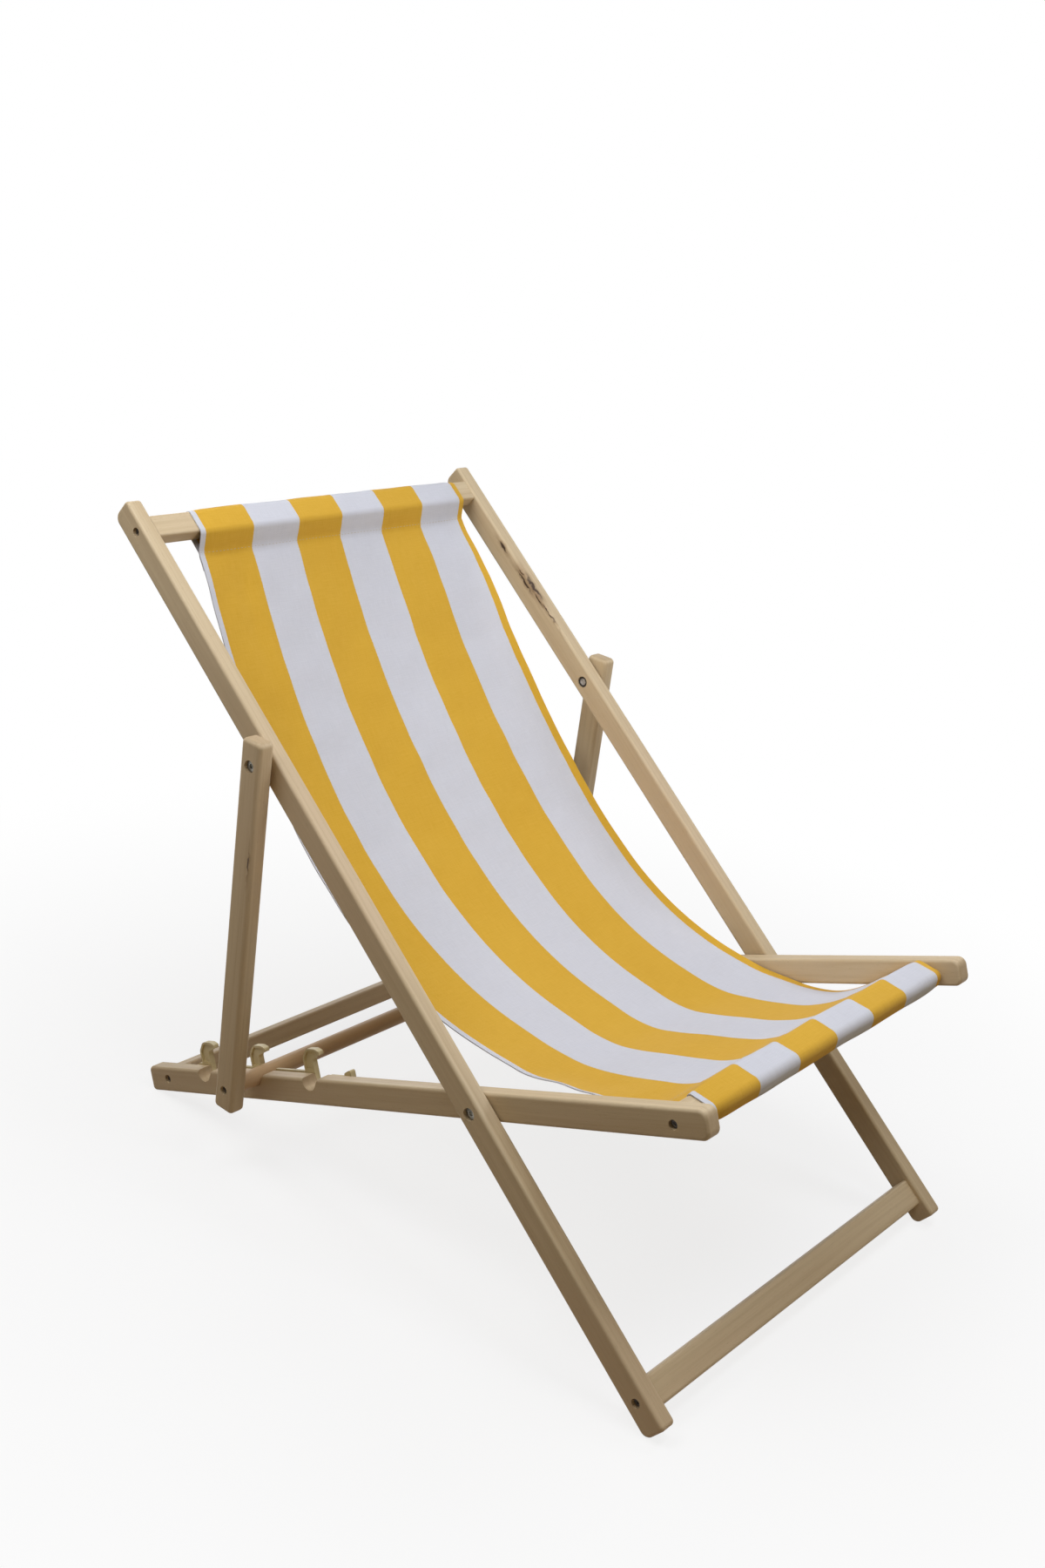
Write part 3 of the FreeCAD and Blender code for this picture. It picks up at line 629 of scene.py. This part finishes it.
# over which lengths of canvas, measured from a seam or from an edge, each of these grows or fades
LEFT_CURL_GROWS = (0.02, 0.09)
LEFT_CURL_FADES = (0.12, 0.19)
TUCK_GROWS = (-0.049, -0.031)
TUCK_FADES = (-0.031, -0.003)
RIGHT_CURL_GROWS = (0.02, 0.15)
RIGHT_CURL_FADES = (0.07, 0.32)
LOOSE_FROM_SEAM = (0, 0.05)
WRINKLES_FADE = (0.35, 0.6)
SLACK_GROWS = (0, 0.03)
PINCH_FADES = (0, 0.02)

# the noise behind the rest: how often it changes in a metre across and along the canvas, and its start
WAVES = (7, 5, 0.3)
WRINKLES = (22, 28, 7.7)
SLACKNESS = (19, 26, 4.1)
PUCKERS_ACROSS = 150
PUCKERS_ALONG = 40
PUCKERS_START = 2.0


def uneven(kind, across, along):
    """Smooth noise over the flat canvas."""
    often_across, often_along, start = kind
    return noise.noise(Vector((across * often_across, along * often_along, start)))


sling.data.update()
normals = [vertex.normal.copy() for vertex in sling.data.vertices]
outward = 1 if sum(normal.z for normal in normals) > 0 else -1
for vertex, normal, (share_across, row) in zip(sling.data.vertices, normals, places):
    across = share_across * SLING_WIDTH
    along = cut_place[row]
    from_top = along - cut_place[top_seam_row]
    to_front = cut_place[front_seam_row] - along
    left_reach = ramp(to_front, *LEFT_CURL_GROWS) * (1 - ramp(to_front, *LEFT_CURL_FADES))
    lift = LEFT_CURL * left_reach * max(0, 1 - across / LEFT_CURL_WIDE) ** 2
    tuck_reach = ramp(to_front, *TUCK_GROWS) * (1 - ramp(to_front, *TUCK_FADES))
    lift -= LEFT_TUCK * tuck_reach * max(0, 1 - across / LEFT_TUCK_WIDE)
    right_reach = ramp(from_top, *RIGHT_CURL_GROWS) * ramp(to_front, *RIGHT_CURL_FADES)
    lift += RIGHT_CURL * right_reach * max(0, 1 - (SLING_WIDTH - across) / RIGHT_CURL_WIDE) ** 2
    if from_top > 0 and to_front > 0:
        loose = ramp(from_top, *LOOSE_FROM_SEAM) * ramp(to_front, *LOOSE_FROM_SEAM)
        fold_reach = math.exp(-from_top / FOLD_LENGTH) * loose
        for place, width, height in SOFT_FOLDS:
            lift += height * math.exp(-(((across - place) / width) ** 2)) * fold_reach
        lift += WAVE_HIGH * loose * uneven(WAVES, across, along)
        upper = 1 - ramp(from_top, *WRINKLES_FADE)
        lift += WRINKLE_HIGH * loose * upper * uneven(WRINKLES, across, along)
    else:
        edge = min(across, SLING_WIDTH - across)
        slack = 0.5 + uneven(SLACKNESS, across, along)
        lift += SLACK_HIGH * slack * ramp(edge, *SLACK_GROWS)
        lift -= END_PINCH * (1 - ramp(edge, *PINCH_FADES))
    pucker = math.exp(-abs(from_top) / PUCKER_LONG) + math.exp(-abs(to_front) / PUCKER_LONG)
    pucker_place = Vector((across * PUCKERS_ACROSS, PUCKERS_START, along * PUCKERS_ALONG))
    lift += PUCKER_HIGH * pucker * noise.noise(pucker_place)
    vertex.co += normal * (lift * outward)

# the seams: a row of thread across the canvas below each sleeve
STITCH_PITCH = 0.0052
STITCH_HALF = 0.0019
THREAD_RADIUS = 0.0003
THREAD_RAISED = 0.4
row_points = {}
for vertex, (share_across, row) in zip(sling.data.vertices, places):
    row_points.setdefault(row, []).append(vertex.co.copy())


def sew(name, row):
    """A row of stitches along one row of the canvas, lying on its upper side."""
    line = sorted(row_points[row], key=lambda point: point.x)
    below = sorted(row_points[row + 1], key=lambda point: point.x)
    mesh = bmesh.new()
    count = int(SLING_WIDTH / STITCH_PITCH)
    for stitch in range(count):
        column = (stitch + 0.5) / count * COLUMNS
        index = min(int(column), COLUMNS - 1)
        across_way = line[index + 1] - line[index]
        up = (across_way.cross(below[index] - line[index])).normalized() * -1
        centre = line[index] + across_way * (column - index) + up * (CANVAS_THICK * THREAD_RAISED)
        turn = across_way.to_track_quat("X", "Z").to_matrix().to_4x4()
        size = Matrix.Diagonal((STITCH_HALF, THREAD_RADIUS, THREAD_RADIUS, 1))
        bmesh.ops.create_uvsphere(
            mesh, u_segments=6, v_segments=4, radius=1, matrix=Matrix.Translation(centre) @ turn @ size
        )
    seam = bpy.data.objects.new(name, bpy.data.meshes.new(name))
    mesh.to_mesh(seam.data)
    mesh.free()
    bpy.context.collection.objects.link(seam)
    return seam


top_seam = sew("top_seam", top_seam_row)
front_seam = sew("front_seam", front_seam_row)

thickness = sling.modifiers.new("canvas thickness", "SOLIDIFY")
thickness.thickness = CANVAS_THICK
thickness.offset = 0.0
bpy.ops.object.modifier_apply(modifier=thickness.name)
bpy.ops.object.mode_set(mode="EDIT")
bpy.ops.mesh.select_all(action="SELECT")
bpy.ops.mesh.normals_make_consistent(inside=False)
bpy.ops.object.mode_set(mode="OBJECT")
bpy.ops.object.shade_smooth_by_angle(angle=math.radians(50))

STRIPE = 0.06875
FIRST_STRIPE = 0.0065
YELLOW = (0.755, 0.449, 0.045)
YELLOW_DEEP = (0.675, 0.377, 0.028)
WHITE = (0.705, 0.715, 0.775)
WHITE_DEEP = (0.625, 0.635, 0.685)
YARN = 0.00095
EDGE_WANDER = 0.0009
EDGE_SOFT = 0.003
SLUB_SCALE = 900
SLUB_STRETCH = 0.06
SLUB_SHARE = 0.7
WEATHER_SCALE = 9
WEATHER_SHARE = 0.3
WEAVE_HIGH = 0.3
SLUB_HIGH = 1.3
canvas, tree, shader = new_material("striped_canvas")
uv = tree.nodes.new("ShaderNodeUVMap")
uv.uv_map = "cut"
flat_place = uv.outputs["UV"]
split = tree.nodes.new("ShaderNodeSeparateXYZ")
tree.links.new(flat_place, split.inputs["Vector"])
across, along = split.outputs["X"], split.outputs["Y"]
loose = calc(tree, "MULTIPLY", calc(tree, "SUBTRACT", cloud(tree, flat_place, 500, 1), 0.5), EDGE_WANDER)
stripe_place = calc(tree, "SUBTRACT", calc(tree, "ADD", across, loose), FIRST_STRIPE)
stripe_phase = calc(tree, "FRACT", calc(tree, "DIVIDE", stripe_place, 2 * STRIPE))
from_yellow = calc(tree, "ABSOLUTE", calc(tree, "SUBTRACT", stripe_phase, 0.25))
is_yellow = spread(tree, from_yellow, 0.25 - EDGE_SOFT, 0.25 + EDGE_SOFT, 1.0, 0.0)
weft_slub = cloud(tree, scaled(tree, flat_place, (SLUB_STRETCH, 1, 1)), SLUB_SCALE, 2)
warp_slub = cloud(tree, scaled(tree, flat_place, (1, SLUB_STRETCH, 1)), SLUB_SCALE, 2)
slub = calc(tree, "MULTIPLY", calc(tree, "ADD", weft_slub, warp_slub), 0.5)
weathered = cloud(tree, flat_place, WEATHER_SCALE, 3)
slub_shade = calc(tree, "MULTIPLY", slub, SLUB_SHARE)
shade = calc(tree, "ADD", slub_shade, calc(tree, "MULTIPLY", weathered, WEATHER_SHARE))
deeper = spread(tree, shade, 0.24, 0.80)
yellow_cloth = mixed(tree, deeper, YELLOW, YELLOW_DEEP)
white_cloth = mixed(tree, deeper, WHITE, WHITE_DEEP)
cloth = mixed(tree, is_yellow, white_cloth, yellow_cloth)
tree.links.new(cloth, shader.inputs["Base Color"])
tree.links.new(spread(tree, slub, 0.3, 0.7, 0.78, 0.95), shader.inputs["Roughness"])
shader.inputs["Specular IOR Level"].default_value = 0.15
shader.inputs["Sheen Weight"].default_value = 0.12
shader.inputs["Sheen Roughness"].default_value = 0.6
over_weft = calc(tree, "SINE", calc(tree, "MULTIPLY", across, math.pi / YARN))
over_warp = calc(tree, "SINE", calc(tree, "MULTIPLY", along, math.pi / YARN))
weave = calc(tree, "MULTIPLY", calc(tree, "MULTIPLY", over_weft, over_warp), WEAVE_HIGH)
threads = calc(tree, "ADD", weave, calc(tree, "MULTIPLY", slub, SLUB_HIGH))
raise_relief(tree, shader, threads, 0.26, 0.0004)
sling.data.materials.append(canvas)

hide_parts("sling")
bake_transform(sling)

THREAD_PALE = (0.60, 0.54, 0.42)
THREAD_DEEP = (0.48, 0.41, 0.28)
thread, tree, shader = new_material("cotton_thread")
twist = cloud(tree, object_place(tree), 1800, 1)
tree.links.new(mixed(tree, twist, THREAD_PALE, THREAD_DEEP), shader.inputs["Base Color"])
shader.inputs["Roughness"].default_value = 0.85
shader.inputs["Specular IOR Level"].default_value = 0.2
for seam, body in ((top_seam, "back_frame"), (front_seam, "seat_frame")):
    seam.data.materials.append(thread)
    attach(seam, body)

# Stage: a wide pale floor that runs out to white, lit by soft boxes round the chair and a dim warm room.
# To everything but the camera and the metal the floor is a dim brown, so that undersides stay in shade.
FLOOR_PALE = (0.94, 0.94, 0.94)
FLOOR_DIM = (0.30, 0.19, 0.085)
FLOOR_HALF = 30.0
GLOW_FROM = 0.3
GLOW_TO = 1.2
GLOW_NEAR = 0.8
bpy.ops.object.select_all(action="DESELECT")
bpy.ops.mesh.primitive_grid_add(x_subdivisions=8, y_subdivisions=8, size=2 * FLOOR_HALF)
floor = bpy.context.active_object
floor.name = "studio_floor"
floor_paint, tree, shader = new_material("studio_floor")
seen = tree.nodes.new("ShaderNodeLightPath").outputs
mirrored = calc(tree, "MAXIMUM", seen["Is Glossy Ray"], seen["Is Transmission Ray"])
shown = calc(tree, "MAXIMUM", seen["Is Camera Ray"], mirrored)
tree.links.new(mixed(tree, shown, FLOOR_DIM, FLOOR_PALE), shader.inputs["Base Color"])
shader.inputs["Roughness"].default_value = 0.9
shader.inputs["Specular IOR Level"].default_value = 0.0
distance = vector_calc(tree, "LENGTH", object_place(tree))["Value"]
far_off = spread(tree, distance, GLOW_FROM, GLOW_TO, GLOW_NEAR, 1.0)
glow = tree.nodes.new("ShaderNodeEmission")
fade = tree.nodes.new("ShaderNodeMixShader")
tree.links.new(calc(tree, "MULTIPLY", far_off, shown), fade.inputs["Fac"])
tree.links.new(shader.outputs["BSDF"], fade.inputs[1])
tree.links.new(glow.outputs["Emission"], fade.inputs[2])
tree.links.new(fade.outputs["Shader"], tree.nodes["Material Output"].inputs["Surface"])
floor.data.materials.append(floor_paint)

ROOM_LOW = (0.075, 0.048, 0.017)
ROOM_TOP = (0.015, 0.015, 0.015)
ROOM_SHOWN = (1.0, 1.0, 1.0)
world = bpy.data.worlds.new("dim_room")
bpy.context.scene.world = world
world.use_nodes = True
tree = world.node_tree
seen = tree.nodes.new("ShaderNodeLightPath").outputs
heading = tree.nodes.new("ShaderNodeSeparateXYZ")
sky_place = tree.nodes.new("ShaderNodeTexCoord").outputs["Generated"]
tree.links.new(sky_place, heading.inputs["Vector"])
room = mixed(tree, spread(tree, heading.outputs["Z"], 0.0, 1.0), ROOM_LOW, ROOM_TOP)
mirrored = calc(tree, "MAXIMUM", seen["Is Glossy Ray"], seen["Is Transmission Ray"])
shown = calc(tree, "MAXIMUM", seen["Is Camera Ray"], mirrored)
tree.links.new(mixed(tree, shown, room, ROOM_SHOWN), tree.nodes["Background"].inputs["Color"])

# each soft box: its place, width, power and colour
COOL_LIGHT = (0.975, 1.005, 1.085)
MILD_LIGHT = (1.0, 0.95, 0.83)
WARM_LIGHT = (1.0, 0.89, 0.66)
SOFT_BOXES = {
    "overhead": ((-0.25, 0.2, 1.75), 0.7, 4.6, COOL_LIGHT),
    "near_front": ((-0.12, -0.55, 1.2), 0.4, 3.0, COOL_LIGHT),
    "back_left": ((-0.9, 0.9, 2.0), 1.2, 7.6, MILD_LIGHT),
    "upper_left": ((-0.75, 0.35, 1.25), 0.6, 2.6, COOL_LIGHT),
    "upper_right": ((0.7, -0.4, 1.25), 0.6, 3.8, COOL_LIGHT),
    "low_front": ((0.3, -1.8, 0.8), 1.0, 3.7, WARM_LIGHT),
    "rear_right": ((0.9, 1.6, 0.8), 1.0, 5.0, COOL_LIGHT),
    "low_left": ((-1.5, -0.9, 0.7), 1.0, 1.3, WARM_LIGHT),
}
AIM = Vector((0, 0, 0.35))
for name, (place, width, power, colour) in SOFT_BOXES.items():
    bpy.ops.object.light_add(type="AREA", location=place)
    box = bpy.context.active_object
    box.name = "soft_box_" + name
    box.data.shape = "DISK"
    box.data.size = width
    box.data.energy = power
    box.data.color = colour
    box.visible_camera = False
    box.rotation_euler = (AIM - box.location).to_track_quat("-Z", "Y").to_euler()

# Camera: where the photograph was taken from, a little above the chair's left front corner.
# Its place, turn, lens and shift were worked out together with the chair's proportions.
CAMERA_PLACE = (-1.43637, -1.09876, 1.16068)
CAMERA_TURN = (math.radians(69.626), math.radians(-7.058), math.radians(-49.855))
CAMERA_LENS = 40.21
CAMERA_SENSOR = 36.0
CAMERA_SHIFT = (-0.02039, -0.01717)
bpy.ops.object.camera_add(location=CAMERA_PLACE, rotation=CAMERA_TURN)
camera = bpy.context.active_object
camera.name = "photo_camera"
camera.data.lens = CAMERA_LENS
camera.data.sensor_width = CAMERA_SENSOR
camera.data.shift_x, camera.data.shift_y = CAMERA_SHIFT
bpy.context.scene.camera = camera
bpy.context.scene.view_settings.view_transform = "Standard"
